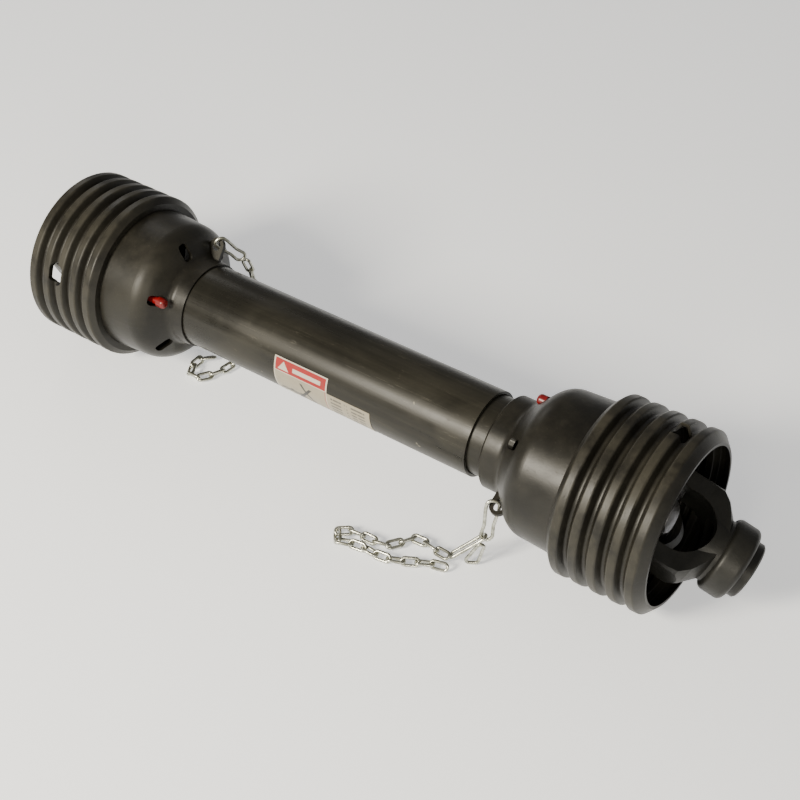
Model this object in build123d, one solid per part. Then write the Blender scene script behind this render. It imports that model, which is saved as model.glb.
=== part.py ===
from build123d import *
import math
import os

# Agricultural universal joint shaft, all sizes in millimetres.
# Frame: +X along the drive axis towards the near end, +Z up, origin on the floor under the
# middle of the shaft. The far end is the near end turned half a turn about +Z.
#
# Each end is drawn in its own end frame: origin at the cross centre, +X out of the guard's
# mouth. Feature angles are measured about +X from +Y towards +Z.

# ---- overall -------------------------------------------------------------------------------
CLOSED_LENGTH = 610.0            # cross centre to cross centre, pushed together
CREST_RADIUS = 81.5              # ribs of the guard collars, what the shaft lies on
CLEAR = 0.05                     # radial running clearance of pins and bearings
SEAT_GAP = 0.05                  # gap between seated plastic parts

# ---- rest pose of the two joints -----------------------------------------------------------
ARM_ANGLE = 25.0                 # direction of the outer yokes' ears about the axis
NEAR_TILT = 23.0                 # how far the near outer yoke hangs out of line
NEAR_TILT_TOWARDS = 292.0        # direction in which it hangs
FAR_TILT = 23.0
FAR_TILT_TOWARDS = 212.0         # in the far end frame

# ---- guard tubes ---------------------------------------------------------------------------
OUTER_TUBE_RADIUS = 40.0
OUTER_TUBE_BORE = 37.5
OUTER_TUBE_LENGTH = CLOSED_LENGTH - 294.0
INNER_TUBE_RADIUS = 36.8
INNER_TUBE_BORE = 34.3
INNER_TUBE_LENGTH = CLOSED_LENGTH - 302.0

# ---- guard cones, in the end frame ---------------------------------------------------------
CONE_WALL = 3.0
DOME_RADIUS = CREST_RADIUS - 11.5
DOME_SHOULDER_RADIUS = DOME_RADIUS - 2.5
DOME_SHOULDER_X = -103.0
NECK_RADIUS = 43.0
NECK_TOP_X = -125.0
FAR_NECK_TOP_X = -117.0
NEAR_NECK_END_X = -145.0
FAR_NECK_END_X = -133.5
FAR_NECK_RADIUS = 41.6
SPIGOT_LENGTH = 21.0
SPIGOT_WALL = 2.6
TUBE_SEAT_DEPTH = 10.0
NECK_FILLET = 8.0
THROAT_FILLET = 3.0
DOME_FILLET = 22.0
CONE_LIP_HEIGHT = 2.4
CONE_LIP_WIDTH = 2.6
SLOT_COUNT = 6
SLOT_WIDTH = 10.0
SLOT_INNER_RADIUS = 46.0
SLOT_OUTER_RADIUS = 61.0
NEAR_SLOT_ANGLE = 73.0
FAR_SLOT_ANGLE = 27.0
LUG_THICKNESS = 4.0
LUG_HOLE_RADIUS = 4.6
LUG_RADIUS = 8.0
LUG_CENTRE_X = -117.5
LUG_CENTRE_R = 55.0
NEAR_LUG_ANGLE = 205.0
FAR_LUG_ANGLE = 128.0

# ---- ribbed collars, in the end frame ------------------------------------------------------
COLLAR_WALL = 2.5
FLANGE_X = -56.5
RIB_COUNT = 5
FIRST_CREST_X = -48.0
RIB_PITCH = 17.25
RIB_HEIGHT = 6.5
RIB_TOP = 7.2                    # flat width of a rib
RIB_VALLEY = 3.0                 # flat width between ribs
RIB_EDGE = 2.0                   # rounding of the ribs' edges
RIB_END_SHIFT = 0.45             # inner offset at the end ribs' gentler flanks, in walls
RIM_X = 31.5
RIM_RADIUS = CREST_RADIUS - 8.3
GREASE_HOLE_LENGTH = 16.0
GREASE_HOLE_WIDTH = 20.0
GREASE_HOLE_CORNER = 5.0
NEAR_GREASE_HOLE_X = 5.0
NEAR_GREASE_HOLE_ANGLE = 78.0
FAR_GREASE_HOLE_X = -8.0
FAR_GREASE_HOLE_ANGLE = 20.5

# ---- guard bearing ring and lock plugs -----------------------------------------------------
GROOVE_X = -129.0
GROOVE_RADIUS = 28.0
RING_WIDTH = 8.0
RING_OUTER_RADIUS = 38.15
RING_SIDE_GAP = 0.35
RING_SLIT = 2.0
RING_POCKET_RADIUS = 38.2
PLUG_HEAD_RADIUS = 4.9
PLUG_HEAD_LENGTH = 9.0
PLUG_HEAD_FILLET = 3.4
PLUG_STEM_RADIUS = 3.6
PLUG_STEM_LENGTH = 12.0
NEAR_PLUG_X = -114.5
FAR_PLUG_X = -111.5
PLUG_SLOTS = (0, 3)              # which slots hold a plug

# ---- cross and bearing caps ----------------------------------------------------------------
TRUNNION_RADIUS = 8.0
TRUNNION_TIP = 36.1
CROSS_BODY_RADIUS = 20.5
CROSS_BODY_HALF = 16.5
CROSS_CORNER = 3.0
CAP_RADIUS = 13.5
CAP_INNER = 21.6
CAP_OUTER = 37.3
CAP_FLOOR = 1.0
RACE_RADIUS = 10.4
SEAL_INNER = 17.2
SEAL_OUTER = 21.4
SEAL_RADIUS = 12.2
NIPPLE_REACH = 29.0

# ---- circlips ------------------------------------------------------------------------------
CIRCLIP_THICK = 1.5
CIRCLIP_OUTER = 14.55
CIRCLIP_INNER = 11.2
CIRCLIP_GAP = 7.0
CIRCLIP_GROOVE_RADIUS = 14.6
CIRCLIP_LUG_RADIUS = 2.2

# ---- yokes ---------------------------------------------------------------------------------
EAR_RADIUS = 20.0
EAR_INNER = 26.0
EAR_OUTER = 41.5
THROAT = 47.5
ARM_ROOT_HALF_WIDTH = 26.0
ENVELOPE_RADIUS = 45.0
ARM_SHOULDER_X = 46.0
NECK_START_X = 57.0
OUTER_YOKE_LENGTH = 90.0
OUTER_NECK_RADIUS = 28.0
SHOULDER_START_X = 60.0
SHOULDER_END_X = 82.0
SHOULDER_RADIUS = 33.0
SHOULDER_FILLET = 5.0
BARREL_RADIUS = 25.0
EDGE_CHAMFER = 1.5
INNER_HUB_RADIUS = 30.0
INNER_HUB_END = 140.0
SOCKET_DEPTH = 40.0
HUB_BORE_RADIUS = 10.0

# ---- six-spline bore, 1 3/8 inch -----------------------------------------------------------
SPLINE_COUNT = 6
SPLINE_TIP_RADIUS = 14.83
SPLINE_ROOT_RADIUS = 17.6
SPLINE_GROOVE_WIDTH = 8.7
SPLINE_START_X = 52.0
SPLINE_END_X = 88.0
RELIEF_RADIUS = 18.5

# ---- push pin ------------------------------------------------------------------------------
PIN_X = 71.0
PIN_OFFSET = 20.95
PIN_RADIUS = 6.0
PIN_HOLE_RADIUS = 6.05
PIN_TRAVEL = 7.0
PIN_INNER_END = -13.0
SPOT_FACE_Y = 20.0
PIN_HOLE_BOTTOM = -23.5
BUTTON_RADIUS = 4.7
BUTTON_LENGTH = 9.0
BUSH_THICK = 2.2
BUSH_BORE = 4.8
NOTCH_RADIUS = 18.2
PIN_SPRING_WIRE = 0.5
PIN_SPRING_RADIUS = 4.2
PIN_SPRING_TURNS = 4

# ---- profile tubes and roll pins -----------------------------------------------------------
PROFILE_CORNER_RADIUS = 33.0     # of the sharp triangle round the outer tube
PROFILE_FILLET = 9.0
PROFILE_WALL = 4.0
PROFILE_SLIDE_GAP = 0.35
OUTER_PROFILE_END_X = CLOSED_LENGTH / 2 - 155.0
INNER_PROFILE_END_X = 155.0 - CLOSED_LENGTH / 2
ROLL_PIN_X = -115.0
ROLL_PIN_RADIUS = 5.0
ROLL_PIN_WALL = 2.0
ROLL_PIN_LENGTH = 56.0
ROLL_PIN_SLIT = 1.2

# ---- label on the outer guard tube ---------------------------------------------------------
LABEL_THICK = 0.3
LABEL_STAND_OFF = 0.02
LABEL_MAIN = (-61.0, -1.2, 156.0, 222.0)      # start x, end x, top angle, bottom angle
LABEL_SIDE = (-1.2, 46.0, 177.5, 222.0)

# ---- chains --------------------------------------------------------------------------------
CHAIN_RADIUS = 4.5               # of the envelope round the links
HOOK_WIRE = 1.6                  # radius of the hooks' wire
BEND_SHARE = 0.45                # share of the shorter run that an arc may use
NEAR_CHAIN = (
    (153, -81, 7.0), (144, -78.5, 5.0), (133, -76.5, 5.0), (122, -76, 5.0),
    (115, -82, 5.0), (115, -92, 5.0), (107, -99, 5.0), (95, -101, 5.0), (83, -101, 5.0),
    (71, -102, 5.0), (62, -106, 5.0), (61, -115, 5.0), (70, -120, 5.0), (80, -114, 5.0),
    (91, -112, 5.0), (103, -113, 5.0), (114, -112, 5.0), (125, -108, 5.0),
    (136, -102, 5.0), (146, -96, 5.0), (156, -92, 5.0), (166, -90, 5.0),
)
FAR_CHAIN = (
    (-172, 57, 98), (-168, 59, 84), (-167, 59, 66), (-167, 58, 48), (-167, 56, 30),
    (-165, 49, 13), (-164, 36, 5.5), (-165, 23, 5.0), (-162, 12, 5.0), (-164, 0, 5.0),
    (-169, -11, 5.0), (-175, -23, 5.0), (-187, -25, 5.0), (-190, -14, 5.0),
    (-197, -6, 5.0), (-193, 5, 5.0), (-183, 13, 5.0),
)

# ---- wire links between the lugs and the chains --------------------------------------------
LINK_WIRE = 1.6                  # radius of the wire
LINK_HALF_WIDTH = 5.5
LINK_TAIL_HALF_WIDTH = 5.4
LINK_BEND = 12.0
SNAP_HALF_WIDTH = 3.9
NEAR_LINK_SIDE = (-0.81, -0.58, 0.0)
NEAR_LINK_END = (183.5, -61.5, 26.5)
NEAR_SNAP_START = (183.1, -60.7, 30.4)
NEAR_SNAP_END = (160, -79.5, 7.4)
NEAR_SNAP_SIDE = (-0.49, 0.85, -0.2)
RING_FEET = ((180.9, -68.5, 2.2), (170.2, -75.0, 2.2))
RING_STAND_OFF = 4.9
RING_RISE = 8.0
FAR_LINK_SIDE = (0.5, 0.53, 0.68)
FAR_LINK_END = (-173, 53, 105.5)

CROSS_X = CLOSED_LENGTH / 2
CHAIN_SHIFT = CROSS_X - 305.0      # the chains' points were laid out for crosses at 305 mm
AXIS_Z = CREST_RADIUS
OUT = "parts"


# ---- helpers -------------------------------------------------------------------------------
def polar(radius, degrees):
    """A point in the YZ plane at an angle from +Y towards +Z."""
    a = math.radians(degrees)
    return radius * math.cos(a), radius * math.sin(a)


def rod_x(radius, x0, x1):
    """A round bar along X."""
    return Pos((x0 + x1) / 2, 0, 0) * Rot(0, 90, 0) * Cylinder(radius, x1 - x0)


def rod_y(radius, y0, y1):
    """A round bar along Y."""
    return Pos(0, (y0 + y1) / 2, 0) * Rot(90, 0, 0) * Cylinder(radius, y1 - y0)


def span(x0, x1, y0, y1, z0, z1):
    """A box between two corners."""
    box = Box(x1 - x0, y1 - y0, z1 - z0)
    return Pos((x0 + x1) / 2, (y0 + y1) / 2, (z0 + z1) / 2) * box


def tube_x(outer, inner, x0, x1):
    """A round tube along X."""
    return rod_x(outer, x0, x1) - rod_x(inner, x0 - 1, x1 + 1)


def spun(edges):
    """A solid of revolution about X from a closed run of edges in the XY plane."""
    return revolve(make_face(Wire(edges)), axis=Axis.X, revolution_arc=360)


def spun_points(points):
    """A solid of revolution about X from corner points (x, radius)."""
    return revolve(make_face(Polyline(*points, close=True)), axis=Axis.X, revolution_arc=360)


def both(shape):
    """A shape and its twin half a turn about X."""
    return shape + Rot(180, 0, 0) * shape


def arm_angle(side):
    """Direction of the outer yoke's ears in an end frame; the two inner yokes are in phase."""
    return ARM_ANGLE if side == "near" else -ARM_ANGLE


def end_place(side):
    """Where an end frame lies in the row frame."""
    if side == "near":
        return Pos(CROSS_X, 0, AXIS_Z)
    return Pos(-CROSS_X, 0, AXIS_Z) * Rot(0, 0, 180)


def shifted(points, side):
    """Points of a chain or hook, moved along with the end that it hangs from."""
    step = CHAIN_SHIFT if side == "near" else -CHAIN_SHIFT
    return [(x + step, y, z) for x, y, z in points]


def save(name, shape):
    """Write one node."""
    shape.label = name
    export_step(shape, os.path.join(OUT, name + ".step"))


# ---- guard: cone, collar, ring, plugs ------------------------------------------------------
def collar():
    """Ribbed flexible collar: a thin wall folded into flat-topped ribs, open at the mouth."""
    valley = CREST_RADIUS - RIB_HEIGHT
    top = RIB_TOP / 2
    foot = RIB_PITCH / 2 - RIB_VALLEY / 2
    hole = DOME_RADIUS + SEAT_GAP
    crests = [FIRST_CREST_X + k * RIB_PITCH for k in range(RIB_COUNT)]
    flange_top = valley + 1.0
    lip = (RIM_X - 1.2, RIM_RADIUS + 1.6)
    outer = [(FLANGE_X, flange_top)]
    for x in crests:
        if x > crests[0]:
            outer.append((x - foot, valley))
        outer.append((x - top, CREST_RADIUS))
        outer.append((x + top, CREST_RADIUS))
        if x < crests[-1]:
            outer.append((x + foot, valley))
    outer.append(lip)
    slope = math.atan2(RIB_HEIGHT, foot - top)
    shift = COLLAR_WALL * math.tan(slope / 2)
    top_in = top - shift
    foot_in = foot - shift
    end_shift = COLLAR_WALL * RIB_END_SHIFT
    roof = CREST_RADIUS - COLLAR_WALL
    floor = valley - COLLAR_WALL
    rim_in = (RIM_X, RIM_RADIUS - COLLAR_WALL)
    inner = [rim_in]
    for x in reversed(crests):
        inner.append((x + (top - end_shift if x == crests[-1] else top_in), roof))
        if x < crests[-1]:
            inner.insert(-1, (x + foot_in, floor))
        inner.append((x - (top - end_shift if x == crests[0] else top_in), roof))
        if x > crests[0]:
            inner.append((x - foot_in, floor))
    wall_x = FLANGE_X + COLLAR_WALL
    inner.append((wall_x, flange_top - 0.95))
    inner.append((wall_x, hole))
    ends = Polyline(inner[-1], (FLANGE_X, hole), outer[0]).edges()
    ends += Polyline(lip, (RIM_X, RIM_RADIUS), rim_in).edges()
    folds = FilletPolyline(*outer, radius=RIB_EDGE).edges()
    cavity = FilletPolyline(*inner, radius=RIB_EDGE / 2).edges()
    return revolve(make_face(Wire(ends + folds + cavity)), axis=Axis.X, revolution_arc=360)


def grease_hole(x, degrees):
    """Cutter for the access hole through one side of the collar."""
    cutter = Box(GREASE_HOLE_LENGTH, 20, GREASE_HOLE_WIDTH)
    cutter = fillet(cutter.edges().filter_by(Axis.Y), GREASE_HOLE_CORNER)
    return Rot(degrees, 0, 0) * Pos(x, CREST_RADIUS - 4, 0) * cutter


def cone_bore(neck_top):
    """Corner points of the cone's inside, from its shoulder to the ring's pocket."""
    shoulder = (DOME_SHOULDER_X + 2.2, DOME_SHOULDER_RADIUS - CONE_WALL)
    throat = (neck_top + 1.2, RING_POCKET_RADIUS)
    pocket = (GROOVE_X + RING_WIDTH / 2 + 0.4, RING_POCKET_RADIUS)
    if throat[0] > pocket[0] + 2 * THROAT_FILLET:
        return [shoulder, throat, pocket]
    return [shoulder, pocket]


def cone(neck_radius, neck_end, neck_top, lead, bore_points):
    """Guard cone: a neck that flares into a dome, with a lip that holds the collar."""
    rim = FLANGE_X + COLLAR_WALL + 0.2
    lip_end = rim + CONE_LIP_WIDTH
    lip_r = DOME_RADIUS + CONE_LIP_HEIGHT
    flare = FilletPolyline(
        (neck_end, neck_radius),
        (neck_top, NECK_RADIUS),
        (DOME_SHOULDER_X, DOME_SHOULDER_RADIUS),
        (rim, DOME_RADIUS),
        radius=[NECK_FILLET, DOME_FILLET],
    )
    inside = (lip_end, DOME_RADIUS - CONE_WALL)
    bore = cone_bore(neck_top)
    rounds = [DOME_FILLET - CONE_WALL, THROAT_FILLET][:len(bore) - 1]
    rest = [(rim, DOME_RADIUS), (rim, lip_r), (lip_end, lip_r), inside]
    inner = FilletPolyline(inside, *bore, radius=rounds)
    tail = [bore[-1]] + bore_points + lead + [(neck_end, neck_radius)]
    edges = flare.edges() + Polyline(*rest).edges() + inner.edges() + Polyline(*tail).edges()
    return revolve(make_face(Wire(edges)), axis=Axis.X, revolution_arc=360)


def slots(first):
    """Cutters for the slots in the flare."""
    mid = (SLOT_INNER_RADIUS + SLOT_OUTER_RADIUS) / 2
    depth = SLOT_OUTER_RADIUS - SLOT_INNER_RADIUS
    cutter = Box(40, depth, SLOT_WIDTH)
    cutter = fillet(cutter.edges().filter_by(Axis.X), SLOT_WIDTH / 2 - 1.5)
    cuts = []
    for k in range(SLOT_COUNT):
        turn = Rot(first + k * 360 / SLOT_COUNT, 0, 0)
        cuts.append(turn * Pos(-112, mid, 0) * cutter)
    return cuts


def lug(degrees):
    """Chain lug moulded on the flare: a rounded tab with a hole across it."""
    eye = Pos(LUG_CENTRE_X, LUG_CENTRE_R, 0) * Cylinder(LUG_RADIUS, LUG_THICKNESS)
    x0 = LUG_CENTRE_X - LUG_RADIUS
    x1 = LUG_CENTRE_X + LUG_RADIUS + 3
    half = LUG_THICKNESS / 2
    web = span(x0, x1, NECK_RADIUS - 1, LUG_CENTRE_R, -half, half)
    return Rot(degrees, 0, 0) * (eye + web)


def lug_hole(degrees):
    """Cutter for the lug's hole."""
    hole = Pos(LUG_CENTRE_X, LUG_CENTRE_R, 0) * Cylinder(LUG_HOLE_RADIUS, 30)
    return Rot(degrees, 0, 0) * hole


def inside_of_cone(neck_top):
    """The room inside the cone and neck, which lugs must not fill."""
    bore = cone_bore(neck_top)
    return spun_points([(bore[-1][0], 0)] + bore[::-1] + [(0, DOME_RADIUS), (0, 0)])


def ring_seat():
    """Inner corner points of the pocket that the bearing ring sits in."""
    back = GROOVE_X - RING_WIDTH / 2
    return [(back, RING_POCKET_RADIUS), (back, INNER_TUBE_BORE)]


def near_cone():
    """Cone whose neck holds the end of the inner guard tube."""
    seat = GROOVE_X - RING_WIDTH / 2 - 2.0
    tube_r = INNER_TUBE_RADIUS + SEAT_GAP
    lead = [(seat, INNER_TUBE_BORE), (seat, tube_r), (NEAR_NECK_END_X, tube_r)]
    body = cone(NECK_RADIUS, NEAR_NECK_END_X, NECK_TOP_X, lead, ring_seat())
    body = chamfer(body.edges().group_by(Axis.X)[0].sort_by(SortBy.LENGTH)[-1], 2.0)
    body = body + (lug(NEAR_LUG_ANGLE) - inside_of_cone(NECK_TOP_X))
    for cut in slots(NEAR_SLOT_ANGLE):
        body = body - cut
    return body - lug_hole(NEAR_LUG_ANGLE)


def far_cone():
    """Cone with a spigot that holds the end of the outer guard tube."""
    end = FAR_NECK_END_X - SPIGOT_LENGTH
    outer = OUTER_TUBE_BORE - SEAT_GAP
    inner = outer - SPIGOT_WALL
    lead = [
        (GROOVE_X - RING_WIDTH / 2, inner), (end, inner), (end, outer), (FAR_NECK_END_X, outer),
    ]
    seat = [(GROOVE_X - RING_WIDTH / 2, RING_POCKET_RADIUS)]
    body = cone(FAR_NECK_RADIUS, FAR_NECK_END_X, FAR_NECK_TOP_X, lead, seat)
    body = body + (lug(FAR_LUG_ANGLE) - inside_of_cone(FAR_NECK_TOP_X))
    for cut in slots(FAR_SLOT_ANGLE):
        body = body - cut
    return body - lug_hole(FAR_LUG_ANGLE)


def bearing_ring():
    """Split nylon ring that turns in the groove of the inner yoke."""
    x0 = GROOVE_X - RING_WIDTH / 2 + 0.02
    x1 = GROOVE_X + RING_WIDTH / 2
    ring = tube_x(RING_OUTER_RADIUS, GROOVE_RADIUS + CLEAR, x0, x1)
    return ring - span(x0 - 1, x1 + 1, 0, 50, -RING_SLIT / 2, RING_SLIT / 2)


def lock_plugs(first, seat_x):
    """Rounded push-in plugs in two of the slots."""
    radius = SLOT_INNER_RADIUS + PLUG_HEAD_RADIUS + 0.1
    head = rod_x(PLUG_HEAD_RADIUS, seat_x - PLUG_HEAD_LENGTH, seat_x)
    head = fillet(head.edges().group_by(Axis.X)[0], PLUG_HEAD_FILLET)
    stem = rod_x(PLUG_STEM_RADIUS, seat_x - 1, seat_x + PLUG_STEM_LENGTH)
    plug = Pos(0, radius, 0) * (head + stem)
    solids = [Rot(first + k * 360 / SLOT_COUNT, 0, 0) * plug for k in PLUG_SLOTS]
    return solids


# ---- yokes ---------------------------------------------------------------------------------
def fork():
    """Fork with its ears across +-Y and its root towards +X, up to the neck."""
    side = make_face(Polyline(
        (0, -EAR_RADIUS), (30, -EAR_RADIUS - 1), (NECK_START_X, -ARM_ROOT_HALF_WIDTH),
        (NECK_START_X, ARM_ROOT_HALF_WIDTH), (30, EAR_RADIUS + 1), (0, EAR_RADIUS), close=True,
    ))
    side = side + make_face(CenterArc((0, 0), EAR_RADIUS, 0, 360))
    block = extrude(Plane.XZ * side, EAR_OUTER, both=True)
    throat_r = EAR_INNER
    gap = span(-30, THROAT - throat_r, -EAR_INNER, EAR_INNER, -60, 60)
    gap = gap + Pos(THROAT - throat_r, 0, 0) * Cylinder(throat_r, 120)
    envelope = spun_points([
        (-EAR_RADIUS - 1, 0), (-EAR_RADIUS - 1, ENVELOPE_RADIUS - 4), (-8, ENVELOPE_RADIUS),
        (ARM_SHOULDER_X - 8, ENVELOPE_RADIUS), (ARM_SHOULDER_X, ENVELOPE_RADIUS - 5),
        (NECK_START_X, OUTER_NECK_RADIUS), (NECK_START_X, 0),
    ])
    return (block & envelope) - gap


def ear_cuts():
    """Cutters for the cap bores and circlip grooves in both ears."""
    bore = rod_y(CAP_RADIUS + 0.01, -60, 60)
    groove = rod_y(CIRCLIP_GROOVE_RADIUS, CAP_OUTER + 0.02, CAP_OUTER + CIRCLIP_THICK + 0.12)
    return bore + both(groove)


def spline_cutter():
    """Six-spline bore with a relief behind it and a lead-in chamfer."""
    cutter = rod_x(SPLINE_TIP_RADIUS, SPLINE_START_X - 1, OUTER_YOKE_LENGTH + 1)
    groove = span(SPLINE_START_X - 1, OUTER_YOKE_LENGTH + 1, 0, SPLINE_ROOT_RADIUS + 2,
                  -SPLINE_GROOVE_WIDTH / 2, SPLINE_GROOVE_WIDTH / 2)
    for k in range(SPLINE_COUNT):
        cutter = cutter + Rot(k * 360 / SPLINE_COUNT, 0, 0) * groove
    cutter = cutter & rod_x(SPLINE_ROOT_RADIUS, 0, OUTER_YOKE_LENGTH + 2)
    relief = rod_x(RELIEF_RADIUS, THROAT - 10, SPLINE_START_X)
    mouth = spun_points([
        (SPLINE_END_X, 0), (SPLINE_END_X, SPLINE_TIP_RADIUS),
        (OUTER_YOKE_LENGTH + 1, SPLINE_ROOT_RADIUS + 1.5), (OUTER_YOKE_LENGTH + 1, 0),
    ])
    return cutter + relief + mouth


def outer_yoke():
    """Yoke that slides on a splined shaft: fork, shoulder for the push pin, barrel."""
    neck = rod_x(OUTER_NECK_RADIUS, THROAT - 6, SHOULDER_START_X + 2)
    shoulder = rod_x(SHOULDER_RADIUS, SHOULDER_START_X, SHOULDER_END_X)
    shoulder = fillet(shoulder.edges().filter_by(GeomType.CIRCLE), SHOULDER_FILLET)
    barrel = rod_x(BARREL_RADIUS, THROAT - 6, OUTER_YOKE_LENGTH)
    barrel = chamfer(barrel.edges().group_by(Axis.X)[-1], EDGE_CHAMFER)
    gap = Pos(THROAT - EAR_INNER, 0, 0) * Cylinder(EAR_INNER, 120)
    body = fork() + ((neck + barrel + shoulder) - gap)
    body = body - ear_cuts() - spline_cutter()
    face = span(SHOULDER_START_X - 2, SHOULDER_END_X + 1, SPOT_FACE_Y, 60, -60, -PIN_RADIUS - 3)
    hole = Pos(PIN_X, 0, -PIN_OFFSET) * rod_y(PIN_HOLE_RADIUS, PIN_HOLE_BOTTOM, 60)
    return body - face - hole


def push_pin():
    """Spring-loaded locking pin with a notch that frees the splined shaft when pushed."""
    pin = rod_y(PIN_RADIUS, PIN_INNER_END, SPOT_FACE_Y - BUSH_THICK - 0.05)
    button = rod_y(BUTTON_RADIUS, SPOT_FACE_Y - BUSH_THICK - 1, SPOT_FACE_Y + BUTTON_LENGTH)
    button = fillet(button.edges().group_by(Axis.Y)[-1], BUTTON_RADIUS * 0.6)
    body = Pos(PIN_X, 0, -PIN_OFFSET) * (pin + button)
    notch = Pos(0, PIN_TRAVEL, 0) * rod_x(NOTCH_RADIUS, PIN_X - 20, PIN_X + 20)
    return body - notch


def push_pin_bush():
    """Ring pressed into the mouth of the pin's hole, which keeps the pin in."""
    bush = rod_y(PIN_HOLE_RADIUS - 0.01, SPOT_FACE_Y - BUSH_THICK, SPOT_FACE_Y)
    return Pos(PIN_X, 0, -PIN_OFFSET) * (bush - rod_y(BUSH_BORE, -50, 50))


def push_pin_spring():
    """Coil spring behind the push pin."""
    length = PIN_INNER_END - PIN_HOLE_BOTTOM - 2 * PIN_SPRING_WIRE - 0.1
    path = Helix(length / PIN_SPRING_TURNS, length, PIN_SPRING_RADIUS)
    section = Plane(origin=path @ 0, z_dir=path % 0) * Circle(PIN_SPRING_WIRE)
    coil = sweep(section, path=path, is_frenet=True)
    start = PIN_HOLE_BOTTOM + PIN_SPRING_WIRE + 0.05
    return Pos(PIN_X, start, -PIN_OFFSET) * Rot(-90, 0, 0) * coil


def profile(level):
    """Rounded triangular section: 0 outer tube outside, 1 its bore, 2 inner tube, 3 its bore."""
    shrink = (0, PROFILE_WALL, PROFILE_WALL + PROFILE_SLIDE_GAP,
              2 * PROFILE_WALL + PROFILE_SLIDE_GAP)[level]
    corner = PROFILE_CORNER_RADIUS - 2 * shrink
    sketch = RegularPolygon(corner, 3)
    return fillet(sketch.vertices(), PROFILE_FILLET - shrink * 0.9)


def profile_bar(level, x0, x1):
    """A bar of one of the triangular sections along X, in the row frame's direction."""
    bar = extrude(Plane.YZ * profile(level), x1 - x0)
    return Pos(x0, 0, 0) * Rot(ARM_ANGLE, 0, 0) * bar


def inner_yoke(level, side):
    """Yoke on a profile tube: fork across the other yoke, hub with ring groove and socket."""
    hub = rod_x(INNER_HUB_RADIUS, THROAT - 6, INNER_HUB_END)
    hub = chamfer(hub.edges().group_by(Axis.X)[-1], EDGE_CHAMFER)
    gap = Pos(THROAT - EAR_INNER, 0, 0) * Cylinder(EAR_INNER, 120)
    body = (fork() + (hub - gap)) - ear_cuts()
    body = Rot(arm_angle(side) + 90, 0, 0) * Rot(0, 0, 180) * body
    half = RING_WIDTH / 2 + RING_SIDE_GAP
    body = body - tube_x(INNER_HUB_RADIUS + 2, GROOVE_RADIUS, GROOVE_X - half, GROOVE_X + half)
    body = body - rod_x(HUB_BORE_RADIUS, -INNER_HUB_END, -THROAT + 12)
    body = end_place(side) * body
    body = body - socket(level, side)
    across = end_place(side) * Rot(arm_angle(side), 0, 0)
    return body - across * roll_pin_bar(ROLL_PIN_RADIUS, 80)


def socket(level, side):
    """Cutter for the socket that a profile tube sits in, in the row frame."""
    inner = CROSS_X - INNER_HUB_END + SOCKET_DEPTH
    outer = CROSS_X - INNER_HUB_END - 1
    lift = Pos(0, 0, AXIS_Z)
    if side == "near":
        return lift * profile_bar(level, outer, inner)
    return lift * profile_bar(level, -inner, -outer)


def roll_pin_bar(radius, length):
    """A bar across the hub where the roll pin goes, in the end frame."""
    return Pos(ROLL_PIN_X, 0, 0) * rod_y(radius, -length / 2, length / 2)


def roll_pin(side):
    """Slit spring pin that fixes the tube in the yoke."""
    pin = roll_pin_bar(ROLL_PIN_RADIUS - 0.01, ROLL_PIN_LENGTH)
    pin = pin - roll_pin_bar(ROLL_PIN_RADIUS - ROLL_PIN_WALL, ROLL_PIN_LENGTH + 2)
    half = ROLL_PIN_SLIT / 2
    slit = span(ROLL_PIN_X - half, ROLL_PIN_X + half, -60, 60, 0, 10)
    return Rot(arm_angle(side), 0, 0) * (pin - slit)


def profile_tube(level, side):
    """Profile tube with its cross hole for the roll pin, in the row frame."""
    seat = CROSS_X - INNER_HUB_END + SOCKET_DEPTH - 0.4
    if side == "near":
        x0, x1 = INNER_PROFILE_END_X, seat
    else:
        x0, x1 = -seat, OUTER_PROFILE_END_X
    lift = Pos(0, 0, AXIS_Z)
    tube = lift * profile_bar(level, x0, x1)
    tube = tube - lift * profile_bar(level + 1, x0 - 1, x1 + 1)
    across = end_place(side) * Rot(arm_angle(side), 0, 0)
    return tube - across * roll_pin_bar(ROLL_PIN_RADIUS, 80)


# ---- cross, caps, seals, circlips ----------------------------------------------------------
def cross():
    """Cross with four trunnions along +-Y and +-Z."""
    size = 2 * CROSS_BODY_HALF
    body = Box(size, size, size) & Sphere(CROSS_BODY_RADIUS)
    pin = rod_y(TRUNNION_RADIUS, -TRUNNION_TIP, TRUNNION_TIP)
    pin = chamfer(pin.edges().filter_by(GeomType.CIRCLE), 0.8)
    body = body + pin + Rot(90, 0, 0) * pin
    return body - Rot(45, 0, 0) * rod_y(2.5, 8, 40)


def grease_nipple():
    """Grease nipple screwed into the cross between two trunnions."""
    stem = rod_y(2.48, 9, 22)
    flats = Pos(0, 22.7, 0) * Rot(90, 0, 0) * extrude(RegularPolygon(4.6, 6), 2.0, both=True)
    head = rod_y(2.2, 23, NIPPLE_REACH - 2.2)
    tip = Pos(0, NIPPLE_REACH - 2.4, 0) * Sphere(2.4)
    return Rot(45, 0, 0) * (stem + flats + head + tip)


def cap_pair():
    """Two bearing caps on the Y trunnions."""
    cap = rod_y(CAP_RADIUS, CAP_INNER, CAP_OUTER)
    cap = chamfer(cap.edges().group_by(Axis.Y)[-1], 0.5)
    cap = cap - rod_y(RACE_RADIUS, CAP_INNER - 1, CAP_OUTER - CAP_FLOOR)
    return [cap, Rot(180, 0, 0) * cap]


def needle_pair():
    """Two sleeves that stand for the needle rollers of the Y trunnions."""
    end = CAP_OUTER - CAP_FLOOR - 0.3
    start = CAP_INNER + 0.6
    sleeve = rod_y(RACE_RADIUS - 0.02, start, end) - rod_y(TRUNNION_RADIUS + CLEAR, 0, 60)
    return [sleeve, Rot(180, 0, 0) * sleeve]


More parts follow.
